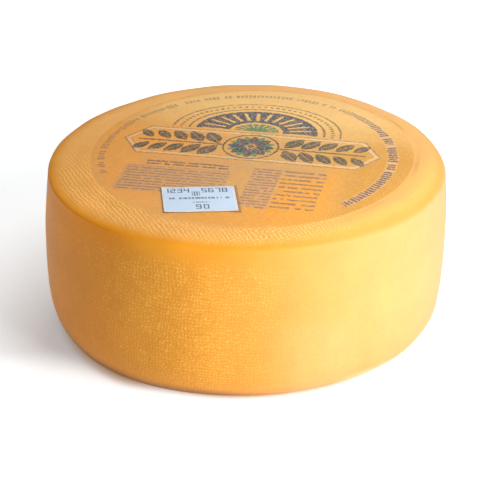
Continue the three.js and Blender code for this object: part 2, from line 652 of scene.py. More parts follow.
@dataclass(frozen=True)
class RindFinish:
    """A golden waxed rind, pressed all over with the weave of its cloth and filmed a little milky by it.

    The shoulder between top and side rubbed against the mould and stayed smooth and deep in colour.
    """

    smooth: Colour = srgb(240, 153, 28)
    # Painted shade: the darker wax on the right of the shoulder, where the light falls strongest.
    rubbed: Colour = srgb(240, 142, 26)
    plain: Colour = srgb(216, 136, 24)
    golden: Colour = srgb(238, 166, 52)
    # Painted shade: the deeper, darker wax on the left, away from the light.
    deep: Colour = srgb(214, 118, 6)
    milky: Colour = srgb(222, 148, 44)
    # Painted highlight: the paler wax on the right, where the light falls.
    pale: Colour = srgb(214, 159, 98)
    top_film: Colour = srgb(243, 167, 74)
    # The film's colour at the far side, lightened there as painted light.
    painted_light_far_film: Colour = srgb(255, 190, 104)
    crumb: Colour = srgb(255, 212, 120)
    side_crumb: Colour = srgb(255, 206, 104)
    # Painted shade: the browner colour low on the foot, most to the left.
    foot_shade_brown: Colour = srgb(198, 126, 34)
    # Painted shade: the dark colour where the foot turns under towards the floor.
    foot_under_shade: Colour = srgb(136, 88, 40)
    # Painted highlight on the lit right of the foot, also used for a faint painted sheen.
    foot_lit: Colour = srgb(255, 226, 170)
    thread_height: float = 0.22 * MM
    pore_height: float = 0.10 * MM
    top_pitch: float = 2.9 * MM
    top_turn: float = math.radians(52)

    @staticmethod
    def crests(shader: Shader, count: Value) -> Value:
        """1 between two threads and 0 on a thread, as the cosine of the thread count."""
        return shader.math("COSINE", count * TURN) * 0.5 + 0.5

    @staticmethod
    def woven(one: Value, other: Value, one_way: Value) -> Value:
        """Crumbs where both rows crest, and rows of the one kind or the other where one_way says."""
        return one * other * 0.70 + (one * one_way + other * (1 - one_way)) * 0.30

    def spot(self, shader: Shader) -> RindSpot:
        """Reads the mesh and the slow noises.

        Args:
            shader: The rind's shader.

        Returns:
            What the other methods work from.
        """
        place = shader.place()
        x, y, _ = shader.parts(place)
        zone = shader.attribute("zone")
        return RindSpot(
            place=place,
            x=x,
            y=y,
            zone=zone,
            on_top=shader.ramp_up(zone, 1.80, 1.16),
            on_side=shader.ramp_up(zone, 2.02, 2.2),
            patches=shader.noise(place, 0.060, 3.0),
            mottle=shader.noise(place, 0.016, 4.0, 0.6),
        )

    def side_weave(self, shader: Shader, spot: RindSpot) -> Value:
        """The cloth's print on the side, in rows and columns that noise lets wander and frays.

        Args:
            shader: The rind's shader.
            spot: What is read at each point.

        Returns:
            The height of the print, from 0 to 1.
        """
        around, down = shader.map_place("cloth")
        wander, drift, _ = shader.noises(spot.place, 0.034, 1.0)
        fray_one, fray_two, fray_three = shader.noises(spot.place, 0.0034, 1.0)
        columns = self.crests(shader, around + wander * 3.0 + fray_one * 1.9 + down * 0.06)
        rows = self.crests(shader, down + drift * 3.0 + fray_two * 1.9)
        one_way = shader.ramp_up(spot.patches, 0.40, 0.58) * 0.7 + 0.1
        return self.woven(rows, columns, one_way) * (fray_three * 1.2 + 0.4)

    def top_weave(self, shader: Shader, spot: RindSpot) -> Value:
        """The print of the cloth that lay flat over the top, its two sets of threads askew.

        Args:
            shader: The rind's shader.
            spot: What is read at each point.

        Returns:
            The height of the print, from 0 to 1.
        """
        x, y = spot.x, spot.y
        wander, drift, _ = shader.noises(spot.place, 0.040, 1.0)
        patches, _, _ = shader.noises(spot.place, 0.013, 1.0)
        fray_one, fray_two, fray_three = shader.noises(spot.place, 0.0048, 1.0)
        slant = math.sin(self.top_turn) / self.top_pitch, math.cos(self.top_turn) / self.top_pitch
        one = self.crests(shader, x * slant[0] + y * slant[1] + wander * 2.4 + fray_one * 1.3)
        other = self.crests(shader, y * slant[1] - x * slant[0] + drift * 2.4 + fray_two * 1.3)
        one_way = shader.ramp_up(patches - x * 1.2, 0.42, 0.56)
        return self.woven(one, other, one_way) * (fray_three * 1.0 + 0.5)

    def pressed(self, shader: Shader, spot: RindSpot) -> Value:
        """How firmly the cloth was pressed in: faint in places, to the far side and to the right.

        Args:
            shader: The rind's shader.
            spot: What is read at each point.

        Returns:
            The share of the weave that shows.
        """
        x, y = spot.x, spot.y
        broken = shader.ramp_up(spot.mottle, 0.30, 0.52) * 0.5 + 0.5
        bleached = shader.ramp_up(x, -0.01, 0.09) * shader.ramp_up(y, 0.08, 0.02)
        side = (1 - bleached * 0.86) * (shader.ramp_up(x, -0.10, -0.02) * 0.36 + 0.24)
        calm = shader.ramp_up(y - x * 0.3, -0.03, 0.04)
        top = shader.ramp_up(x, -0.08, 0.06) * 0.45 + 0.75 - shader.ramp_up(x, 0.05, 0.12) * 0.9
        top = top * (1 - calm * 0.85)
        return shader.largest(spot.on_top * top, spot.on_side * side) * broken

    def wax(self, shader: Shader, spot: RindSpot) -> bpy.types.NodeSocket:
        """The wax of shoulder and side: golden in front, with painted shade deep to the left and darker
        on the right of the shoulder, and a painted highlight pale to the right.

        Args:
            shader: The rind's shader.
            spot: What is read at each point.

        Returns:
            The colour.
        """
        x, zone = spot.x, spot.zone
        # Painted shade: the shoulder turns darker and redder to the right, where the light falls
        # strongest.
        colour = shader.mix(shader.ramp_up(x, 0.0, 0.12), self.smooth, self.rubbed)
        colour = shader.mix(shader.ramp_up(zone, 1.82, 2.12), colour, self.plain)
        band = shader.ramp_up(zone, 1.55, 1.8) * shader.ramp_up(zone, 2.25, 2.05)
        band = band * shader.ramp_up(x, -0.065, -0.035) * shader.ramp_up(x, 0.09, 0.05)
        colour = shader.mix(band * 0.3, colour, self.golden)
        milk = (spot.patches * 0.9 + 0.05) * (1 - shader.ramp_up(x, -0.08, -0.13) * 0.7)
        colour = shader.mix(spot.on_side * milk, colour, self.milky)
        # Painted shade: deeper, darker wax on the left of the shoulder and side, away from the light.
        away = shader.ramp_up(x, -0.04, -0.075) * shader.ramp_up(zone, 1.8, 2.0)
        colour = shader.mix(away * 0.35, colour, self.deep)
        below = shader.ramp_up(zone, 1.75, 2.0) * 0.45 + 0.55
        # Painted highlight: paler wax towards the right, where the light falls, strongest on the side.
        return shader.mix(shader.ramp_up(x, -0.02, 0.16) * below, colour, self.pale)

    def film(self, shader: Shader, spot: RindSpot) -> bpy.types.NodeSocket:
        """The milky film that the cloth left on the top, with painted light that makes it lighter to the
        far side and to the right.

        Args:
            shader: The rind's shader.
            spot: What is read at each point.

        Returns:
            The colour.
        """
        x, y = spot.x, spot.y
        # Painted light: the film turns lighter towards the far side of the top.
        painted_light_far = shader.largest(shader.ramp_up(y, 0.02, 0.11), shader.ramp_up(y - x * 0.6, 0.0, 0.12))
        colour = shader.mix(painted_light_far * 0.8, self.top_film, self.painted_light_far_film)
        # Painted highlight: lighter crumb colour towards the right of the top, where the light falls.
        return shader.mix(shader.ramp_up(x, 0.05, 0.12) * 0.2, colour, self.crumb)

    def foot(self, shader: Shader, spot: RindSpot, colour: Any) -> bpy.types.NodeSocket:
        """Colours the foot with painted light and shade: painted shade browner low down and to the left,
        a painted highlight lighter to the right with a faint painted sheen above it, and painted shade
        dark where it turns under.

        Args:
            shader: The rind's shader.
            spot: What is read at each point.
            colour: The rind's colour above the foot.

        Returns:
            The colour with that of the foot over it.
        """
        x, zone = spot.x, spot.zone
        # Painted shade: browner low on the foot, most to the left, away from the light.
        low = shader.ramp_up(zone, 2.9, 3.7) * (shader.ramp_up(x, 0.05, -0.08) * 0.7 + 0.02)
        colour = shader.mix(low, colour, self.foot_shade_brown)
        # Painted highlight: lighter low on the foot to the right, where the light falls, and a faint
        # painted sheen on the side above it.
        lit = shader.ramp_up(zone, 3.2, 3.6) * shader.ramp_up(x, 0.075, 0.11) * 0.5
        above = shader.ramp_up(zone, 2.45, 2.75) * shader.ramp_up(x, 0.04, 0.07)
        above = above * shader.ramp_up(x, 0.11, 0.09) * 0.08
        colour = shader.mix(shader.largest(lit, above), colour, self.foot_lit)
        # Painted shade: dark where the foot turns under towards the floor.
        shade_under = shader.ramp_up(zone, 3.36, 3.68) * (0.9 - shader.ramp_up(x, 0.0, 0.085) * 0.86)
        return shader.mix(shade_under, colour, self.foot_under_shade)

    def lightness(self, shader: Shader, spot: RindSpot) -> Value:
        """How light the rind is, about 1: mottled and grainy, darker over the left of the side, lifted by
        painted light on the left of the top and shoulder, and darkened by painted shade on the bright
        right of the top and shoulder and on the far left of the top.

        Args:
            shader: The rind's shader.
            spot: What is read at each point.

        Returns:
            The factor of the colour.
        """
        x, zone = spot.x, spot.zone
        grain = shader.noise(spot.place, 0.0022, 2.0, 0.6)
        # Darker over the left of the side, less so at its far left.
        darker_left = shader.ramp_up(x, 0.01, -0.035) * 0.1 - shader.ramp_up(x, -0.09, -0.13) * 0.07
        # Painted light: lighter on the left of the top, shoulder and upper side, away from the main
        # light.
        painted_light_left = shader.ramp_up(x, -0.05, -0.10) * shader.ramp_up(zone, 2.5, 2.15)
        # Painted shade: darker on the right of the top and shoulder, where the light falls strongest.
        dull = shader.ramp_up(x, 0.08, 0.12) * shader.ramp_up(zone, 2.6, 2.2)
        # Painted shade: darker on the far left of the top.
        painted_shade_far_left = shader.ramp_up(x, -0.085, -0.12) * spot.on_top
        even = 1 - spot.on_side * darker_left + painted_light_left * 0.14 - dull * 0.07 - painted_shade_far_left * 0.08
        return (spot.mottle * 0.16 + grain * 0.10 + 0.87) * even

    def material(self) -> bpy.types.Material:
        """Makes the rind's material from the mesh's cloth map and zone numbers.

        Returns:
            The material.
        """
        shader = Shader("rind")
        spot = self.spot(shader)
        weave = self.top_weave(shader, spot) * spot.on_top
        weave = weave + self.side_weave(shader, spot) * (1 - spot.on_top)
        pressed = self.pressed(shader, spot)
        height = pressed * weave

        colour = shader.mix(spot.on_top * 0.95, self.wax(shader, spot), self.film(shader, spot))
        crumb = shader.mix(spot.on_top, self.side_crumb, self.crumb)
        colour = shader.mix(height * 0.7, colour, crumb)
        colour = self.foot(shader, spot, colour)

        pores = shader.bump(shader.noise(spot.place, 0.006, 3.0), self.pore_height)
        return shader.finish(
            {
                "Base Color": shader.tinted(colour, self.lightness(shader, spot)),
                "Roughness": pressed * 0.10 + spot.mottle * 0.10 + 0.40,
                "Specular IOR Level": 0.16,
                "Normal": shader.bump(height, self.thread_height, pores),
            }
        )


@dataclass
class CheeseWheel:
    """The whole wheel as one closed skin, from the middle of its label's recess to that of its foot."""

    form: WheelForm
    finish: RindFinish = field(default_factory=RindFinish)
    relief: Relief = field(default_factory=Relief)
    sectors: int = 480
    rings: dict[Band, int] = field(
        default_factory=lambda: {
            Band.RECESS: 5,
            Band.RIM: 24,
            Band.SHOULDER: 40,
            Band.SIDE: 80,
            Band.FOOT: 32,
            Band.BASE: 6,
        }
    )
    thread_pitch: float = 2.6 * MM

    def band(self, band: Band, share: np.ndarray) -> np.ndarray:
        """Rings of one band.

        The recess and the base run straight to their middles, and the rim runs straight from the
        edge of the recess to the shoulder. The other bands are the form's own curves.

        Args:
            band: The band.
            share: How far along it each ring lies, as a column.

        Returns:
            Points by ring, by sector and by x, y and z.
        """
        form = self.form
        angle = np.arange(self.sectors) * TURN / self.sectors
        edge = form.label_point(angle, form.recess_radius, form.top_height(form.recess_radius))
        if band is Band.RECESS:
            radius = share * form.recess_radius
            return form.label_point(angle, radius, form.top_height(radius) - form.recess_depth)
        if band is Band.RIM:
            return edge + (form.shoulder(angle, np.zeros((1, 1))) - edge) * share[..., None]
        if band is Band.BASE:
            middle = np.array([*form.foot_middle(), 0.0])
            ring = form.foot(angle, np.ones((1, 1)))
            return middle + (ring - middle) * (1 - share[..., None])
        curve = {Band.SHOULDER: form.shoulder, Band.SIDE: form.side, Band.FOOT: form.foot}[band]
        return curve(angle, share)

    def zones(self) -> dict[Band, np.ndarray]:
        """The share of every ring along its band; a band's last ring is the next band's first.

        A second ring close to the recess keeps the recess's edge crisp.

        Returns:
            The shares by band.
        """
        shares = {band: (np.arange(n) + 1) / n for band, n in self.rings.items()}
        shares[Band.RIM] = np.insert(np.linspace(0, 1, self.rings[Band.RIM]), 1, 0.003)
        shares[Band.BASE] = shares[Band.BASE][:-1]
        return shares

    def roughened(self, rings: np.ndarray, zone: np.ndarray) -> np.ndarray:
        """Moves the points along the skin's normals, which are the cross of its two slopes.

        Args:
            rings: The even skin.
            zone: The zone number of each ring.

        Returns:
            The skin with its relief, which fades out at the recess and under the foot.
        """
        down = np.gradient(rings, axis=0)
        around = np.roll(rings, -1, axis=1) - np.roll(rings, 1, axis=1)
        normal = np.cross(down, around)
        normal /= np.maximum(np.linalg.norm(normal, axis=-1, keepdims=True), 1e-12)
        shown = smooth_step(zone, 0.1, 0.8) * (1 - smooth_step(zone, 3.4, 3.9))
        return rings + normal * (self.relief.at(rings) * shown[:, None])[..., None]

    def cloth_map(self, rings: np.ndarray, zone: np.ndarray, corners: Corners) -> np.ndarray:
        """Counts the cloth's threads round the wheel and, from the shoulder's end, down it.

        Args:
            rings: The skin.
            zone: The zone number of each ring.
            corners: The corners of the skin's faces.

        Returns:
            Both counts for every corner.
        """
        row, along, _ = corners
        count = round(TURN * self.form.radius / self.thread_pitch)
        step = np.linalg.norm(np.diff(rings, axis=0), axis=-1)
        run = np.concatenate([np.zeros((1, self.sectors)), np.cumsum(step, axis=0)])
        run -= run[np.searchsorted(zone, Band.SIDE.value)]
        at_row = np.clip(row, 0, len(rings) - 1).astype(int)
        down = run[at_row, along.astype(int) % self.sectors] / self.thread_pitch
        return np.stack([along / self.sectors * count, down], -1)

    def flat_map(self, rings: np.ndarray, zone: np.ndarray, corners: Corners) -> np.ndarray:
        """Lays the skin out flat: two long strips for the halves that show, two discs for the rest.

        Args:
            rings: The skin.
            zone: The zone number of each ring.
            corners: The corners of the skin's faces.

        Returns:
            A place in the unit square for every corner.
        """
        margin = 0.005
        strip_depth, strip_pitch = 0.335, 0.345
        disc_radius = 0.15
        top_middle, foot_middle = np.array([0.84, 0.155]), np.array([0.16, 0.155])

        row, along, start = corners
        last = len(zone) - 1
        first_shown = np.searchsorted(zone, Band.RIM.value, side="right") - 1
        first_base = np.searchsorted(zone, Band.BASE.value)
        half = self.sectors / 2
        back = self.face_column(along) // half
        across = margin + (1 - 2 * margin) * (along - back * half) / half
        shown = rings[first_shown : first_base + 1]
        step = np.linalg.norm(np.diff(shown, axis=0), axis=-1).mean(axis=1)
        run = np.concatenate([[0.0], np.cumsum(step)]) / step.sum()
        depth = run[np.clip(row - first_shown, 0, len(run) - 1).astype(int)]
        strips = np.stack([across, 1 - margin - back * strip_pitch - depth * strip_depth], -1)

        angle = along / self.sectors * TURN
        disc = np.stack([np.cos(angle), np.sin(angle)], -1) * disc_radius
        hidden = (row + 1) / (first_shown + 1)
        base = (last + 1 - row) / (last + 1 - first_base)
        top = top_middle + disc * hidden[:, None]
        foot = foot_middle + disc * base[:, None]
        places = np.where((start < first_shown)[:, None], top, strips)
        return np.where((start >= first_base)[:, None], foot, places)

    def face_column(self, along: np.ndarray) -> np.ndarray:
        """The column at which each corner's face starts, which is the least of its corners' columns.

        Args:
            along: Each corner's column.

        Returns:
            The least column of its face, for each corner.
        """
        pole = 3 * self.sectors
        first, middle, last = along[:pole], along[pole:-pole], along[-pole:]
        faces = first.reshape(-1, 3), middle.reshape(-1, 4), last.reshape(-1, 3)
        return np.concatenate([np.repeat(face.min(axis=1), face.shape[1]) for face in faces])

    def build(self) -> bpy.types.Object:
        """Makes the wheel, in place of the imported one.

        Returns:
            The finished piece.
        """
        form = self.form
        shares = self.zones()
        zone = np.concatenate([band.value + share for band, share in shares.items()])
        even = np.concatenate([self.band(band, share[:, None]) for band, share in shares.items()])
        rings = self.roughened(even, zone)
        top = np.array([*form.label_middle(), form.height - form.recess_depth])
        skin = Loft(rings, top, np.array([*form.foot_middle(), 0.0]))
        corners = skin.corners()
        maps = {
            "OFBake": self.flat_map(rings, zone, corners),
            "cloth": self.cloth_map(rings, zone, corners),
        }
        each = np.repeat(zone, self.sectors)
        each = np.concatenate([[Band.RECESS.value], each, [Band.BASE.value + 1]])
        piece = skin.piece("cheese_rind", maps, {"zone": each})
        piece.data.materials.append(self.finish.material())
        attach(piece, "root")
        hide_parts("cheese_wheel")
        return piece


class Ink(Enum):
    """The label's inks, faded and rubbed as they are on the wheel."""

    SLATE = srgb(64, 78, 62)
    BLUE = srgb(42, 76, 94)
    GREEN = srgb(78, 134, 92)
    BROWN = srgb(120, 82, 48)
    MAUVE = srgb(136, 104, 90)
    PLUM = srgb(96, 78, 78)
    BUFF = srgb(206, 158, 112)
    PALE = srgb(255, 222, 168)
    ROSE = srgb(244, 200, 160)


@dataclass(frozen=True)
class LabelPrint:
    """The label's design, a plain one of leaves, a rosette and a half sun, in millimetres.

    Every shape is a signed distance worked out from the place on the label: below zero is inked.
    """

    frame_middle: tuple[float, float] = (-3.0, 9.0)
    frame_half: tuple[float, float] = (99.0, 24.0)
    frame_slant: float = math.radians(32)
    frame_margin: float = 4.4

    leaf_start: float = 25.0
    leaf_pitch: float = 13.0
    leaf_half: tuple[float, float] = (11.4, 5.4)
    leaf_out: float = 11.0
    leaf_tilt: float = math.radians(50)
    leaf_pairs: int = 5
    leaf_sizes: tuple[float, float] = (1.06, 0.075)
    stem_middle: float = 30.0
    stem_half: float = 33.0

    petals: int = 8
    petal_at: float = 10.8
    petal_half: tuple[float, float] = (7.6, 4.3)
    sepal_at: float = 14.6
    sepal_half: tuple[float, float] = (4.2, 2.1)
    rosette_radius: float = 21.0
    heart_radius: float = 2.6

    sun_middle: tuple[float, float] = (-5.0, 37.0)
    sun_wide: float = 1.26
    sun_radius: float = 38.0
    sun_inner: float = 16.6
    sun_rays: int = 26
    ray_middle: float = 27.5
    ray_half: tuple[float, float] = (7.0, 0.95)
    core_radius: float = 14.0
    core_notches: int = 18
    notch_length: float = 7.5
    arch_radii: tuple[float, float] = (42.2, 52.2)
    beads: int = 74
    bead_ring: float = 47.4
    bead_radius: float = 1.15

    ring_middle: tuple[float, float] = (-3.3, -3.2)
    ring_radius: float = 109.5
    ring_gap_at: float = math.radians(-95.5)
    ring_gap_half: float = math.radians(56.5)
    stroke_pitch: float = 3.3
    stroke_half: float = 1.15

    left_field: Edges = (-88.0, -6.0, -78.5, -36.0)
    inner_field: Edges = (7.0, 30.0, -90.0, -27.0)
    heading_field: Edges = (-80.0, 62.0, -36.0, -19.0)
    left_lines: Edges = (-86.0, -8.0, -77.4, -36.6)
    inner_lines: Edges = (8.0, 29.0, -90.3, -25.8)
    outer_lines: Edges = (31.0, 63.0, -88.0, -25.0)
    heading_lines: Edges = (-74.0, -10.0, -34.4, -25.8)
    line_pitch: float = 4.3
    outer_line_pitch: float = 6.3

    @staticmethod
    def polar(shader: Shader, x: Value, y: Value) -> tuple[Value, Value]:
        """Distance from the middle and angle from +x, in radians."""
        radius = shader.math("SQRT", x * x + y * y)
        return radius, shader.math("ARCTAN2", y, x)

    @staticmethod
    def folded(angle: Value, count: int, offset: float = 0.0) -> Value:
        """The angle from the middle of the nearest of several equal sectors."""
        sector = TURN / count
        return (angle + (sector / 2 - offset)) % sector - sector / 2

    @staticmethod
    def leaf(x: Value, y: Value, half_length: float, half_width: float) -> Value:
        """A pointed leaf along x: its half width falls with the square of the share of its length."""
        share = x / half_length
        return abs(y) - (1 - share * share) * half_width

    def frame(self, shader: Shader, x: Value, y: Value) -> tuple[Value, Value]:
        """A long frame with pointed ends.

        Args:
            shader: The label's shader.
            x: The place across the label.
            y: The place up the label.

        Returns:
            Its double rule, and the pale margin beside the rule.
        """
        across = abs(x - self.frame_middle[0])
        up = abs(y - self.frame_middle[1])
        slanted = (across - self.frame_half[0]) * math.cos(self.frame_slant)
        slanted = slanted + up * math.sin(self.frame_slant)
        distance = shader.largest(up - self.frame_half[1], slanted)
        inner = shader.stroke(distance + self.frame_margin, 0.42)
        rules = shader.largest(shader.stroke(distance, 0.75), inner)
        return rules, shader.stroke(distance + self.frame_margin / 2, 2.9, 0.6)

    def sprigs(self, shader: Shader, x: Value, y: Value) -> Value:
        """Two leafy sprigs, mirrored about the frame's middle, with smaller leaves towards their tips.

        Args:
            shader: The label's shader.
            x: The place across the label.
            y: The place up the label.

        Returns:
            1 on their leaves and stems.
        """
        across = abs(x - self.frame_middle[0]) - self.leaf_start
        up = abs(y - self.frame_middle[1])
        pair = shader.math("FLOOR", across / self.leaf_pitch)
        size = self.leaf_sizes[0] - pair * self.leaf_sizes[1]
        along = (across - (pair + 0.5) * self.leaf_pitch) / size
        out = (up - self.leaf_out) / size
        turn = math.cos(self.leaf_tilt), math.sin(self.leaf_tilt)
        leaf_x = along * turn[0] + out * turn[1]
        leaf_y = out * turn[0] - along * turn[1]
        blade = shader.inside(self.leaf(leaf_x, leaf_y, *self.leaf_half))
        vein = shader.stroke(leaf_y, 0.3)
        ends = shader.inside(abs(pair - (self.leaf_pairs - 1) / 2) - self.leaf_pairs / 2, 0.05)
        stem_ends = shader.inside(abs(across - self.stem_middle) - self.stem_half)
        return shader.largest(blade * (1 - vein * 0.7) * ends, shader.stroke(up, 0.9) * stem_ends)

    def rosette(self, shader: Shader, x: Value, y: Value) -> tuple[Value, Value, Value]:
        """A flower of eight petals in a ring.

        Args:
            shader: The label's shader.
            x: The place across the label.
            y: The place up the label.

        Returns:
            Its blue petals, the green leaves between them, and its slate ring and heart.
        """
        radius, angle = self.polar(shader, x - self.frame_middle[0], y - self.frame_middle[1])
        turn = self.folded(angle, self.petals)
        along, beside = radius * shader.math("COSINE", turn), radius * shader.math("SINE", turn)
        petals = shader.inside(self.leaf(along - self.petal_at, beside, *self.petal_half))
        turn = self.folded(angle, self.petals, TURN / self.petals / 2)
        along, beside = radius * shader.math("COSINE", turn), radius * shader.math("SINE", turn)
        leaves = shader.inside(self.leaf(along - self.sepal_at, beside, *self.sepal_half))
        heart = shader.inside(radius - self.heart_radius)
        return petals, leaves, shader.largest(shader.stroke(radius - self.rosette_radius, 0.75), heart)

    def sun(self, shader: Shader, x: Value, y: Value) -> tuple[Value, Value, Value]:
        """A half sun on a flat line: a core, a field cut by rays, two arches and a row of beads.

        Args:
            shader: The label's shader.
            x: The place across the label.
            y: The place up the label.

        Returns:
            Its blue field, its green core, and its slate arches and beads.
        """
        across = (x - self.sun_middle[0]) / self.sun_wide
        up = y - self.sun_middle[1]
        radius, angle = self.polar(shader, across, up)
        above = shader.inside(-up)
        rays = shader.stroke(self.folded(angle, self.sun_rays) * radius, self.ray_half[1])
        rays = rays * shader.inside(abs(radius - self.ray_middle) - self.ray_half[0])
        field_edge = shader.largest(radius - self.sun_radius, self.sun_inner - radius)
        blue = shader.inside(field_edge) * (1 - rays) * above
        notch_turn = self.folded(angle, self.core_notches, TURN / self.core_notches / 2)
        notches = shader.stroke(notch_turn * radius, 0.5) * shader.inside(self.notch_length - radius)
        green = shader.inside(radius - self.core_radius) * above * (1 - notches)
        bead_x, bead_y = self.folded(angle, self.beads) * radius, radius - self.bead_ring
        bead = shader.math("SQRT", bead_x * bead_x + bead_y * bead_y) - self.bead_radius
        inner = shader.stroke(radius - self.arch_radii[0], 0.7)
        outer = shader.stroke(radius - self.arch_radii[1], 0.6)
        arches = shader.largest(inner, outer, shader.inside(bead))
        return blue, green, arches * shader.inside(-up - 1.0)

    def ring(self, shader: Shader, x: Value, y: Value) -> tuple[Value, Value]:
        """A ring of short strokes of uneven height, in groups, open towards the front.

        Args:
            shader: The label's shader.
            x: The place across the label.
            y: The place up the label.

        Returns:
            Its strokes, and the pale band that they stand on.
        """
        x, y = x - self.ring_middle[0], y - self.ring_middle[1]
        radius, angle = self.polar(shader, x, y)
        run = angle * self.ring_radius
        cell = shader.math("FLOOR", run / self.stroke_pitch)
        tall = shader.chance(shader.vector(cell, 3.0))
        stroke = shader.inside(abs(run - (cell + 0.5) * self.stroke_pitch) - self.stroke_half)
        bigger = shader.ramp_up(x - y * 0.5, -20.0, 80.0)
        height = shader.inside(abs(radius - self.ring_radius) - (tall * 1.2 + 1.7 + bigger))
        group = shader.chance(shader.vector(cell, 11.0))
        written = shader.ramp_up(group, 0.14, 0.20)
        way = (x * math.cos(self.ring_gap_at) + y * math.sin(self.ring_gap_at)) / radius
        closed = shader.inside(way - math.cos(self.ring_gap_half), 0.01)
        margin = shader.inside(abs(radius - self.ring_radius) - (bigger * 1.2 + 2.6), 1.5)
        return stroke * height * written * closed, margin * closed

    @staticmethod
    def block(shader: Shader, x: Value, y: Value, edges: Edges, soft: float) -> Value:
        """A rectangle.

        Args:
            shader: The label's shader.
            x: The place across the label.
            y: The place up the label.
            edges: The rectangle's edges.
            soft: How wide the edges fade.

        Returns:
            1 in the rectangle.
        """
        left, right, low, high = edges
        wide = shader.inside(abs(x - (left + right) / 2) - (right - left) / 2, soft)
        return wide * shader.inside(abs(y - (low + high) / 2) - (high - low) / 2, soft)

    def lines(self, shader: Shader, x: Value, y: Value, edges: Edges, pitch: float) -> Value:
        """Rows of dashes of uneven length, as fine print looks from afar.

        Args:
            shader: The label's shader.
            x: The place across the label.
            y: The place up the label.
            edges: The edges of the rectangle that the rows fill.
            pitch: From one row to the next.

        Returns:
            1 on the dashes.
        """
        row = shader.math("FLOOR", y / pitch)
        word = shader.noise(shader.vector(x, row * 37.7), pitch * 0.75, 1.0)
        dashes = shader.ramp_up(word, 0.36, 0.46)
        in_row = shader.stroke(y - (row + 0.5) * pitch, pitch * 0.1 + 0.55)
        return dashes * in_row * self.block(shader, x, y, edges, 0.3)

    def fields(self, shader: Shader, x: Value, y: Value) -> Value:
        """The tinted fields under the dashes, which have run a little.

        Args:
            shader: The label's shader.
            x: The place across the label.
            y: The place up the label.

        Returns:
            How strong their tint is.
        """
        left = self.block(shader, x, y, self.left_field, 3.0)
        inner = self.block(shader, x, y, self.inner_field, 3.0)
        heading = self.block(shader, x, y, self.heading_field, 4.0)
        return shader.largest(left, inner, heading * 0.6)

    def fine_lines(self, shader: Shader, x: Value, y: Value) -> Value:
        """The three blocks of dashes.

        Args:
            shader: The label's shader.
            x: The place across the label.
            y: The place up the label.

        Returns:
            How strong their ink is.
        """
        left = self.lines(shader, x, y, self.left_lines, self.line_pitch)
        inner = self.lines(shader, x, y, self.inner_lines, self.line_pitch)
        outer = self.lines(shader, x, y, self.outer_lines, self.outer_line_pitch)
        return shader.largest(left * 0.6, inner * 0.75, outer * 0.85)


@dataclass(frozen=True)
class StickerPlace:
    """Where the sticker lies, in millimetres from the label's middle, and how it was cut."""

    middle: tuple[float, float] = (-20.0, -83.8)
    size: tuple[float, float] = (52.5, 38.3)
    turn: float = math.radians(13)
    skew: float = math.radians(5)

    def on_label(self, across: np.ndarray, up: np.ndarray) -> tuple[np.ndarray, np.ndarray]:
        """Skews places on the sticker out of square, turns them and moves them onto the label.

        Args:
            across: Places along the sticker's long edges, from its middle.
            up: Places square to those.

        Returns:
            The two places on the label, from its middle.
        """
        across = across - up * math.tan(self.skew)
        x = self.middle[0] + across * math.cos(self.turn) - up * math.sin(self.turn)
        return x, self.middle[1] + across * math.sin(self.turn) + up * math.cos(self.turn)

    def on_sticker(self, shader: Shader, place: Any) -> tuple[Value, Value, Value]:
        """Undoes the turn and the skew for places on the label.

        Args:
            shader: The shader of the label or of the sticker.
            place: Places in millimetres from the label's middle.

        Returns:
            The place along the sticker's long edges, the one square to those, and the distance
            from its outline, negative inside.
        """
        x, y, _ = shader.parts(place)
        x, y = x - self.middle[0], y - self.middle[1]
        up = y * math.cos(self.turn) - x * math.sin(self.turn)
        across = x * math.cos(self.turn) + y * math.sin(self.turn) + up * math.tan(self.skew)
        return across, up, shader.largest(abs(across) - self.size[0] / 2, abs(up) - self.size[1] / 2)


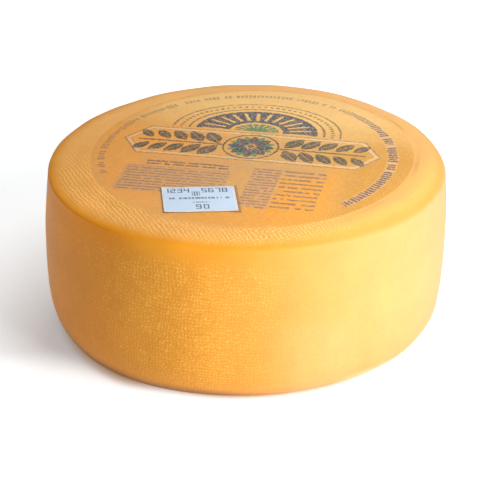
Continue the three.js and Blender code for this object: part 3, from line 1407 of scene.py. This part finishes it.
@dataclass(frozen=True)
class LabelFinish:
    """A thin orange label, printed in faded inks that the cloth's threads have broken up."""

    middle: tuple[float, float]
    design: LabelPrint = field(default_factory=LabelPrint)
    sticker: StickerPlace = field(default_factory=StickerPlace)
    ground: Colour = srgb(222, 165, 84)
    warm: Colour = srgb(242, 167, 72)
    # Painted light: the paler paper colour at the far side.
    painted_light_far_ground: Colour = srgb(255, 202, 118)
    deep: Colour = srgb(240, 158, 30)
    dull: Colour = srgb(212, 147, 34)
    rim: Colour = srgb(244, 172, 82)
    flushed: Colour = srgb(255, 168, 56)
    thread_turn: float = math.radians(52)
    thread_pitch: float = 2.9
    thread_height: float = 0.05 * MM

    def threads(self, shader: Shader, x: Value, y: Value) -> Value:
        """Where threads pressed through the label: the crests of two slanted cosines.

        Args:
            shader: The label's shader.
            x: The place across the label.
            y: The place up the label.

        Returns:
            How far the label stands out, from 0 to 1.
        """
        pitch = self.thread_pitch
        slant = math.sin(self.thread_turn) / pitch, math.cos(self.thread_turn) / pitch
        flat = shader.vector(x, y)
        wander = shader.noise(flat, 22.0, 2.0) * 2.2
        stray_one, stray_two, fray = shader.noises(flat, 4.2, 1.0)
        one = shader.math("COSINE", (x * slant[0] + y * slant[1] + wander + stray_one * 2.2) * TURN)
        two = shader.math("COSINE", (y * slant[1] - x * slant[0] + wander + stray_two * 2.2) * TURN)
        part = shader.ramp_up(shader.noise(flat, 14.0, 2.0), 0.38, 0.62)
        crest = shader.largest(one * (1 - part * 0.6), two * (part * 0.6 + 0.4))
        return shader.ramp_up(crest * (fray * 1.2 + 0.3), 0.1, 1.0)

    def paper(self, shader: Shader, x: Value, y: Value, place: Any) -> bpy.types.NodeSocket:
        """The label's paper colour: paler at the far side, as painted light, redder at the left, duller
        at the right.

        Args:
            shader: The label's shader.
            x: The place across the label.
            y: The place up the label.
            place: Both as a vector, with the height.

        Returns:
            The colour before anything is printed.
        """
        radius = shader.math("SQRT", x * x + y * y)
        slow = shader.noise(place, 34.0, 3.0)
        left = shader.ramp_up(-x, 74.0, 98.0) * shader.ramp_up(y, 34.0, 8.0)
        right = shader.ramp_up(x - y * 0.35, 30.0, 100.0)
        near = shader.ramp_up(x - y, 50.0, 110.0) * shader.ramp_up(x, 86.0, 64.0)
        far = shader.ramp_up(x * 0.1 + y + slow * 40.0, 28.0, 104.0)
        flush = shader.ramp_up(x, -36.0, -84.0) * shader.ramp_up(y, 44.0, 14.0)
        blended = shader.ramp_up(radius + slow * 5.0, 119.0, 124.0)
        colour = shader.mix(shader.ramp_up(-x + slow * 20.0, 0.0, 64.0), self.ground, self.warm)
        colour = shader.mix(shader.ramp_up(slow, 0.36, 0.66) * 0.3, colour, self.deep)
        # Painted light: paler towards the far side.
        colour = shader.mix(far, colour, self.painted_light_far_ground)
        colour = shader.mix(shader.largest(left * 0.75, near * 0.9), colour, self.deep)
        colour = shader.mix(right * (1 - near) * (1 - far * 0.7) * 0.9, colour, self.dull)
        colour = shader.mix(flush * 0.8, colour, self.flushed)
        return shader.mix(blended * (1 - right * 0.9), colour, self.rim)

    def printed(
        self, shader: Shader, x: Value, y: Value, colour: Any, worn: Value
    ) -> bpy.types.NodeSocket:
        """Lays the inks of the design over a colour, each as strong as it has stayed.

        Args:
            shader: The label's shader.
            x: The place across the label.
            y: The place up the label.
            colour: The paper's colour.
            worn: How much of the ink is left, from 0 to 1.

        Returns:
            The printed colour.
        """
        design = self.design
        stray_x, stray_y, blot = shader.noises(shader.vector(x, y, 5.0), 2.4, 2.0)
        dingy = shader.ramp_up(shader.noise(shader.vector(x, y, 9.0), 13.0, 3.0, 0.6), 0.42, 0.60)
        x, y = x + (stray_x - 0.5) * 2.6, y + (stray_y - 0.5) * 2.6
        near = shader.ramp_up(x - y * 0.6, -20.0, 90.0)
        worn = worn * (blot * 0.5 + 0.75)
        rules, margin = design.frame(shader, x, y)
        ring, band = design.ring(shader, x, y)
        blue, green, arches = design.sun(shader, x, y)
        petals, leaves, heart = design.rosette(shader, x, y)
        heading = design.lines(shader, x, y, design.heading_lines, design.line_pitch)

        colour = shader.mix(margin * 0.4, colour, Ink.PALE.value)
        veil = shader.ramp_up(y, 30.0, -20.0) * (0.24 - shader.ramp_up(x, 5.0, 45.0) * 0.18)
        tinted = shader.largest(design.fields(shader, x, y), veil) * (blot * 0.7 + 0.35)
        colour = shader.mix(tinted, colour, Ink.BUFF.value)
        colour = shader.mix(design.fine_lines(shader, x, y) * worn, colour, Ink.MAUVE.value)
        colour = shader.mix(rules * worn * 0.65, colour, Ink.BROWN.value)
        colour = shader.mix(band * (near * 0.3 + 0.1), colour, Ink.ROSE.value)
        purple = shader.largest(heading * 0.9, ring * (near * 0.45 + 0.5))
        colour = shader.mix(purple * worn, colour, Ink.PLUM.value)
        slate = shader.largest(arches * 0.8, heart, design.sprigs(shader, x, y))
        slaty = shader.mix(dingy * 0.7, Ink.SLATE.value, Ink.PLUM.value)
        colour = shader.mix(slate * worn, colour, slaty)
        bluish = shader.mix(dingy * 0.45, Ink.BLUE.value, Ink.PLUM.value)
        colour = shader.mix(shader.largest(blue, petals) * worn, colour, bluish)
        return shader.mix(shader.largest(green, leaves) * worn, colour, Ink.GREEN.value)

    def material(self) -> bpy.types.Material:
        """Makes the label's material on places measured from its middle.

        Returns:
            The material.
        """
        shader = Shader("printed_label")
        place = shader.local_place(self.middle)
        x, y, _ = shader.parts(place)
        threads = self.threads(shader, x, y)
        mottle = shader.noise(place, 9.0, 3.0, 0.6)
        grain = shader.noise(place, 1.3, 2.0, 0.6)
        worn = shader.smallest((1 - threads * 0.42) * (mottle * 0.5 + 0.72), 0.97)
        paper = shader.mix(threads * 0.12, self.paper(shader, x, y, place), Ink.PALE.value)
        colour = self.printed(shader, x, y, paper, worn)
        across, _, from_edge = self.sticker.on_sticker(shader, place)
        # Painted shadow: a thin dark line on the label round the sticker's edges, wider towards its right
        # end.
        sticker_shadow = shader.inside(from_edge - shader.ramp_up(across, 20.0, 27.0) * 1.2 - 0.9, 0.8)
        colour = shader.mix(sticker_shadow * 0.55, colour, Ink.PLUM.value)
        speck = shader.noise(place, 3.6, 2.0)
        colour = shader.tinted(colour, mottle * 0.16 + speck * 0.16 + grain * 0.16 + 0.76)
        return shader.finish(
            {
                "Base Color": colour,
                "Roughness": mottle * 0.14 + 0.46,
                "Specular IOR Level": 0.16,
                "Normal": shader.bump(threads * 0.6 + grain * 0.4, self.thread_height),
            }
        )


@dataclass
class RoundLabel:
    """The thin round label, let into the top and following its crown."""

    form: WheelForm
    radius: float = 121.29 * MM
    proud: float = 0.03 * MM
    under_gap: float = 0.02 * MM
    sectors: int = 256
    rings: int = 56
    last_share: float = 0.999
    rounding: float = 0.05 * MM
    edge_steps: int = 3

    def rings_over(self) -> np.ndarray:
        """Rings over the face, the rounded edge and the underside.

        The face lies a little above the rind round it, at the top's height less its fall with the
        square of the distance, and the underside lies on the floor of the recess. The face's two
        outermost rings lie close together, so the edge's rounded look doesn't spread inwards.

        Returns:
            Points by ring, by sector and by x, y and z.
        """
        form = self.form
        angle = np.arange(self.sectors) * TURN / self.sectors
        share = np.append(np.linspace(0, self.last_share, self.rings)[1:], 1.0)[:, None]
        radius = share * (self.radius - self.rounding)
        face = form.label_point(angle, radius, form.top_height(radius) + self.proud)
        turn = np.linspace(0, QUARTER, self.edge_steps + 1)[1:, None]
        edge_radius = self.radius - self.rounding * (1 - np.sin(turn))
        edge_height = form.top_height(self.radius) + self.proud
        edge = form.label_point(angle, edge_radius, edge_height - self.rounding * (1 - np.cos(turn)))
        under = np.array([1.0, 0.75, 0.5, 0.25])[:, None] * self.radius
        under_height = form.top_height(under) - form.recess_depth + self.under_gap
        return np.concatenate([face, edge, form.label_point(angle, under, under_height)])

    def flat_map(self, skin: Loft) -> np.ndarray:
        """Lays the face over nearly the whole square, seen from above, and the rest in a corner.

        Args:
            skin: The label's surface.

        Returns:
            A place from 0 to 1 for each corner of each face.
        """
        face_wide, rest_wide, rest_middle = 0.985, 0.15, 0.085
        row, along, start = skin.corners()
        points = skin.points()
        vertex = 1 + row * self.sectors + along % self.sectors
        vertex = np.where(row >= len(skin.rings), len(points) - 1, vertex)
        vertex = np.where(row < 0, 0, vertex).astype(int)
        flat = (points[vertex, :2] - self.form.label_middle()) / (2 * self.radius)
        last_edge_ring = self.rings + self.edge_steps - 1
        on_face = (start < last_edge_ring)[:, None]
        return np.where(on_face, 0.5 + flat * face_wide, rest_middle + flat * rest_wide)

    def build(self) -> bpy.types.Object:
        """Makes the label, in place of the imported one.

        Returns:
            The finished piece.
        """
        form = self.form
        middle = form.label_middle()
        top = np.array([*middle, form.height + self.proud])
        under = np.array([*middle, form.height - form.recess_depth + self.under_gap])
        skin = Loft(self.rings_over(), top, under)
        piece = skin.piece("printed_label", {"OFBake": self.flat_map(skin)})
        finish = LabelFinish((float(middle[0]), float(middle[1])))
        piece.data.materials.append(finish.material())
        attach(piece, "root")
        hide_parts("round_label")
        return piece


@dataclass(frozen=True)
class StickerFinish:
    """Pale blue-white paper with whiter cut edges and plain stamped digits."""

    label_middle: tuple[float, float]
    sticker: StickerPlace
    paper: Colour = srgb(205, 224, 244)
    edge: Colour = srgb(226, 222, 222)
    ink: Colour = srgb(64, 76, 104)
    digit_size: tuple[float, float] = (2.9, 5.6)
    upper_digits: str = "12345678"
    upper_middle: tuple[float, float] = (-2.0, 13.6)
    upper_pitch: float = 4.9
    upper_gap_half: float = 3.6
    upper_shift: float = 3.9
    lower_digits: str = "90"
    lower_middle: tuple[float, float] = (1.6, -11.6)
    lower_pitch: float = 5.4
    bars_middle: tuple[float, float] = (-1.9, 8.6)
    bars_half: tuple[float, float] = (2.85, 3.4)
    bar_pitch: float = 1.9
    wide_dashes_up: float = 1.6
    wide_dashes_half: tuple[float, float] = (21.5, 1.35)
    low_dashes_middle: tuple[float, float] = (1.0, -4.8)
    low_dashes_half: tuple[float, float] = (6.0, 0.8)
    lit: dict[str, str] = field(
        default_factory=lambda: {
            "1": "bc",
            "2": "abged",
            "3": "abgcd",
            "4": "fgbc",
            "5": "afgcd",
            "6": "afgedc",
            "7": "abc",
            "8": "abcdefg",
            "9": "abcdfg",
            "0": "abcdef",
        }
    )

    def digits(self, shader: Shader, x: Value, y: Value, text: str, pitch: float) -> Value:
        """A row of digits from seven bars each; ramps over the row say which bars a digit shows.

        Args:
            shader: The sticker's shader.
            x: The place along the row from its middle.
            y: The place above the row's middle line.
            text: The digits.
            pitch: From one digit to the next.

        Returns:
            1 on the bars.
        """
        half_wide, half_tall = self.digit_size[0] / 2, self.digit_size[1] / 2
        run = x / pitch + len(text) / 2
        cell = shader.math("FLOOR", run)
        local = (run - cell - 0.5) * pitch
        bars = {
            "a": (0.0, half_tall, half_wide, 0.0),
            "g": (0.0, 0.0, half_wide, 0.0),
            "d": (0.0, -half_tall, half_wide, 0.0),
            "b": (half_wide, half_tall / 2, 0.0, half_tall / 2),
            "c": (half_wide, -half_tall / 2, 0.0, half_tall / 2),
            "f": (-half_wide, half_tall / 2, 0.0, half_tall / 2),
            "e": (-half_wide, -half_tall / 2, 0.0, half_tall / 2),
        }
        share = (cell + 0.5) / len(text)
        shown: Value | float = 0.0
        for name, (bar_x, bar_y, wide, tall) in bars.items():
            stops = [(i / len(text), float(name in self.lit[c])) for i, c in enumerate(text)]
            ramp = shader.node("ShaderNodeValToRGB", {"stops": stops}, {0: share}).outputs[0]
            distance = shader.largest(abs(local - bar_x) - wide, abs(y - bar_y) - tall)
            shown = shader.largest(shown, shader.inside(distance - 0.5, 0.15) * Value(shader, ramp))
        return shown * shader.inside(abs(x) - len(text) * pitch / 2, 0.05)

    def stamped(self, shader: Shader, x: Value, y: Value) -> Value:
        """Two rows of digits, the upper one with a gap, a few bars below the gap, and two rows of dashes.

        Args:
            shader: The sticker's shader.
            x: The place along the sticker's long edges.
            y: The place square to those.

        Returns:
            How strong the ink is, from 0 to 1.
        """
        from_gap, up = x - self.upper_middle[0], y - self.upper_middle[1]
        gap = shader.ramp_up(abs(from_gap) - self.upper_gap_half, 0.1, 0.4)
        halves = from_gap - shader.math("SIGN", from_gap) * self.upper_shift
        upper = self.digits(shader, halves, up, self.upper_digits, self.upper_pitch) * gap
        across, up = x - self.lower_middle[0], y - self.lower_middle[1]
        lower = self.digits(shader, across, up, self.lower_digits, self.lower_pitch)

        bars = shader.inside(abs(x % self.bar_pitch - self.bar_pitch / 2) - 0.5)
        bars = bars * shader.inside(abs(x - self.bars_middle[0]) - self.bars_half[0])
        bars = bars * shader.inside(abs(y - self.bars_middle[1]) - self.bars_half[1])

        word = shader.noise(shader.vector(x, 4.0), 1.5, 1.0)
        half_wide, half_tall = self.wide_dashes_half
        wide = shader.ramp_up(word, 0.40, 0.48) * shader.stroke(y - self.wide_dashes_up, half_tall)
        wide = wide * shader.inside(abs(x) - half_wide)
        half_wide, half_tall = self.low_dashes_half
        across, up = x - self.low_dashes_middle[0], y - self.low_dashes_middle[1]
        low = shader.ramp_up(word, 0.42, 0.50) * shader.stroke(up, half_tall)
        low = low * shader.inside(abs(across) - half_wide)
        return shader.largest(upper, lower, bars, wide * 0.85, low * 0.8)

    def material(self) -> bpy.types.Material:
        """Makes the sticker's material on places measured from its middle along its own edges.

        Returns:
            The material.
        """
        shader = Shader("sticker_paper")
        place = shader.local_place(self.label_middle)
        x, y, from_edge = self.sticker.on_sticker(shader, place)
        fibres = shader.noise(place, 0.9, 3.0, 0.6)
        clouds = shader.noise(place, 11.0, 2.0)
        rim = shader.ramp_up(from_edge, -2.2, -0.8)
        paper = shader.mix(rim, self.paper, self.edge)
        stamped = self.stamped(shader, x, y) * (fibres * 0.4 + 0.7)
        colour = shader.mix(stamped, paper, self.ink)
        return shader.finish(
            {
                "Base Color": shader.tinted(colour, fibres * 0.08 + clouds * 0.10 + 0.91),
                "Roughness": fibres * 0.12 + 0.58,
                "Normal": shader.bump(fibres, 0.02 * MM),
            }
        )


@dataclass
class DateSticker:
    """The small paper sticker, stuck a little askew on the label, with corners that lift slightly."""

    form: WheelForm
    place: StickerPlace = field(default_factory=StickerPlace)
    thickness: float = 0.22 * MM
    gap: float = 0.06 * MM
    corner_lift: float = 0.45 * MM
    edge_lift: float = 0.05 * MM
    per_side: int = 28
    rings: int = 20
    last_share: float = 0.992

    def square(self) -> np.ndarray:
        """Points round a square from -1 to 1, anticlockwise, with one in each corner.

        Returns:
            Points by x and y.
        """
        run = np.linspace(-1, 1, self.per_side, endpoint=False)
        one = np.ones(self.per_side)
        sides = [np.stack(p, 1) for p in ((run, -one), (one, run), (-run, one), (-one, -run))]
        return np.concatenate(sides)

    def raised(self, flat: np.ndarray, above: float) -> np.ndarray:
        """Lays points on the label and curls the corners up.

        The label's face falls with the square of the distance from its middle. A corner rises with
        the fourth power of both shares of the way to the edges, and an edge with the eighth power
        of the larger one.

        Args:
            flat: Places from -1 to 1 over the sticker.
            above: Height above the sticker's underside.

        Returns:
            The points, with x, y and z last.
        """
        across, up = flat[..., 0], flat[..., 1]
        half = self.place.size[0] / 2, self.place.size[1] / 2
        on_x, on_y = self.place.on_label(across * half[0], up * half[1])
        on_x, on_y = on_x * MM, on_y * MM
        face = self.form.top_height(np.hypot(on_x, on_y)) + self.form.label_proud
        lift = self.corner_lift * (across * up) ** 4
        lift = lift + self.edge_lift * np.maximum(np.abs(across), np.abs(up)) ** 8
        x0, y0 = self.form.label_middle()
        return np.stack([x0 + on_x, y0 + on_y, face + self.gap + lift + above], -1)

    def build(self) -> bpy.types.Object:
        """Makes the sticker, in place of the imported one.

        Returns:
            The finished piece.
        """
        share = np.append(np.linspace(0, self.last_share, self.rings)[1:], 1.0)[:, None, None]
        flat = self.square()[None] * share
        over = self.raised(flat, self.thickness)
        under = self.raised(flat, 0.0)[::-1]
        middles = [self.raised(np.zeros(2), above) for above in (self.thickness, 0.0)]
        piece = Loft(np.concatenate([over, under]), *middles).piece("paper_sticker")
        middle = self.form.label_middle()
        finish = StickerFinish((float(middle[0]), float(middle[1])), self.place)
        piece.data.materials.append(finish.material())
        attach(piece, "root")
        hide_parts("date_sticker")
        return piece


@dataclass(frozen=True)
class Lamp:
    """A square light that faces the wheel.

    Attributes:
        name: What it is called.
        way: Its angle from +X, in degrees.
        elevation: Its angle above the floor, in degrees.
        distance: From the point that it faces, in metres.
        size: The length of its edges, in metres.
        power: In watts.
    """

    name: str
    way: float
    elevation: float
    distance: float
    size: float
    power: float


@dataclass
class Studio:
    """A pale floor, soft lights and the camera of the photograph."""

    azimuth: float = math.radians(13)
    elevation: float = math.radians(27.99)
    distance: float = 1.3
    look_height: float = 0.060
    shift_right: float = 5.45 * MM
    shift_up: float = 2.36 * MM
    roll: float = math.radians(1.0)
    lens: float = 126.4
    sensor: float = 36.0
    floor_reach: float = 6.0
    floor_lines: int = 13
    floor_white: Colour = (0.80, 0.795, 0.79)
    floor_glow: Colour = srgb(249, 253, 255)
    # Painted bounce light: the warm tint of the glow at the wheel's foot.
    floor_warm: Colour = srgb(255, 222, 188)
    overhead_strength: float = 0.17
    horizon_strength: float = 0.80
    lamp_aim: float = 0.080
    lamps: tuple[Lamp, ...] = (
        Lamp("key", -33, 30, 0.57, 0.4, 3.9),
        Lamp("low", -30, 16, 0.85, 0.4, 1.2),
        Lamp("back", 85, 38, 1.3, 1.0, 7.5),
    )

    def back(self) -> Vector:
        """The way from the wheel to the camera.

        Returns:
            A vector one unit long.
        """
        flat = math.cos(self.elevation)
        x, y = math.sin(self.azimuth) * flat, -math.cos(self.azimuth) * flat
        return Vector((x, y, math.sin(self.elevation)))

    def camera(self) -> bpy.types.Object:
        """Sets up the camera, which looks past the wheel's middle by the two shifts and rolls a little.

        Returns:
            The camera.
        """
        back = self.back()
        right = Vector((math.cos(self.azimuth), math.sin(self.azimuth), 0.0))
        up = back.cross(right)
        target = Vector((0.0, 0.0, self.look_height))
        eye = target + back * self.distance
        aim = target - right * self.shift_right - up * self.shift_up
        back = (eye - aim).normalized()
        right = Vector((0.0, 0.0, 1.0)).cross(back).normalized()
        up = back.cross(right)
        rolled_right = right * math.cos(self.roll) - up * math.sin(self.roll)
        rolled_up = up * math.cos(self.roll) + right * math.sin(self.roll)
        turn = Matrix((rolled_right, rolled_up, back)).transposed().to_4x4()
        data = bpy.data.cameras.new("camera")
        data.lens = self.lens
        data.sensor_width = self.sensor
        data.clip_end = 20.0
        camera = bpy.data.objects.new("camera", data)
        camera.matrix_world = Matrix.Translation(eye) @ turn
        bpy.context.scene.collection.objects.link(camera)
        bpy.context.scene.camera = camera
        return camera

    def light(self, lamp: Lamp) -> bpy.types.Object:
        """Adds a soft square light that faces the wheel.

        Args:
            lamp: Where it stands and how strong it is.

        Returns:
            The light.
        """
        data = bpy.data.lights.new(lamp.name, "AREA")
        data.shape = "SQUARE"
        data.size = lamp.size
        data.energy = lamp.power
        light = bpy.data.objects.new(lamp.name, data)
        way, elevation = math.radians(lamp.way), math.radians(lamp.elevation)
        flat = math.cos(elevation)
        back = Vector((math.cos(way) * flat, math.sin(way) * flat, math.sin(elevation)))
        eye = Vector((0.0, 0.0, self.lamp_aim)) + back * lamp.distance
        light.matrix_world = Matrix.Translation(eye) @ back.to_track_quat("Z", "Y").to_matrix().to_4x4()
        bpy.context.scene.collection.objects.link(light)
        return light

    def floor_paint(self) -> bpy.types.Material:
        """A white that glows softly, except close round the wheel, where its shadow and warm light fall.

        Returns:
            The material.
        """
        shader = Shader("floor")
        place = shader.place()
        cloud = shader.noise(place, 0.4, 2.0)
        x, y, _ = shader.parts(place)
        radius = shader.math("SQRT", x * x + y * y)
        # Painted light: the glow is weaker close round the wheel, most to its left, so the wheel's shadow
        # shows there, and stronger in front and farther out.
        left = shader.ramp_up(x, -0.02, -0.075)
        clear = shader.ramp_up(radius - left * 0.013, 0.114, 0.140)
        close = shader.ramp_up(radius - left * 0.012, 0.139, 0.128)
        front = shader.ramp_up(y, -0.09, -0.13) * clear
        away = shader.largest(shader.ramp_up(radius, 0.15, 0.26), front)
        nearer = shader.ramp_up(y, -0.10, -0.15) * 0.05 + shader.ramp_up(radius, 0.16, 0.22) * 0.03
        # Painted bounce light: the glow turns warm close round the wheel's foot.
        hue = shader.mix(close, self.floor_glow, self.floor_warm)
        glow = shader.tinted(hue, (away * 0.25 + 0.30 + nearer) * clear + 0.04)
        return shader.finish(
            {
                "Base Color": shader.tinted(self.floor_white, cloud * 0.02 + 0.99),
                "Roughness": 0.75,
                "Emission Color": glow,
                "Emission Strength": 1.0,
            }
        )

    def floor(self) -> bpy.types.Object:
        """Adds a wide white floor under the wheel, which isn't part of it.

        Returns:
            The floor.
        """
        run = np.linspace(-self.floor_reach, self.floor_reach, self.floor_lines)
        x, y = np.meshgrid(run, run)
        points = np.stack([x, y, np.zeros_like(x)], -1).reshape(-1, 3)
        cell = np.arange(self.floor_lines - 1)
        start = (cell[:, None] * self.floor_lines + cell).ravel()
        faces = start[:, None] + np.array([0, 1, self.floor_lines + 1, self.floor_lines])
        mesh = bpy.data.meshes.new("floor")
        mesh.from_pydata(points.tolist(), [], faces.tolist())
        mesh.materials.append(self.floor_paint())
        floor = bpy.data.objects.new("floor", mesh)
        bpy.context.scene.collection.objects.link(floor)
        return floor

    def surroundings(self) -> None:
        """Makes the surroundings white near the horizon and dimmer overhead."""
        world = bpy.data.worlds.new("surroundings")
        world.use_nodes = True
        shader = Shader.of_tree(world.node_tree)
        way = shader.node("ShaderNodeTexCoord").outputs["Generated"]
        _, _, up = shader.parts(way)
        bright = shader.ramp_up(up, 0.35, 0.1) * self.horizon_strength + self.overhead_strength
        background = shader.node("ShaderNodeBackground", {}, {"Strength": bright}).outputs[0]
        shader.node("ShaderNodeOutputWorld", {}, {"Surface": background})
        bpy.context.scene.world = world

    def build(self) -> None:
        """Sets up the camera, the floor, the lights and the surroundings."""
        self.camera()
        self.floor()
        for lamp in self.lamps:
            self.light(lamp)
        self.surroundings()
        bpy.context.scene.view_settings.view_transform = "Standard"


def main() -> None:
    """Builds the studio, the wheel, its label and the sticker."""
    logging.basicConfig(level=logging.INFO, format="%(name)s: %(message)s")
    Studio().build()
    form = WheelForm()
    for part in (CheeseWheel(form), RoundLabel(form), DateSticker(form)):
        piece = part.build()
        LOG.info("%s: %d faces", piece.name, len(piece.data.polygons))


if __name__ == "__main__":
    main()
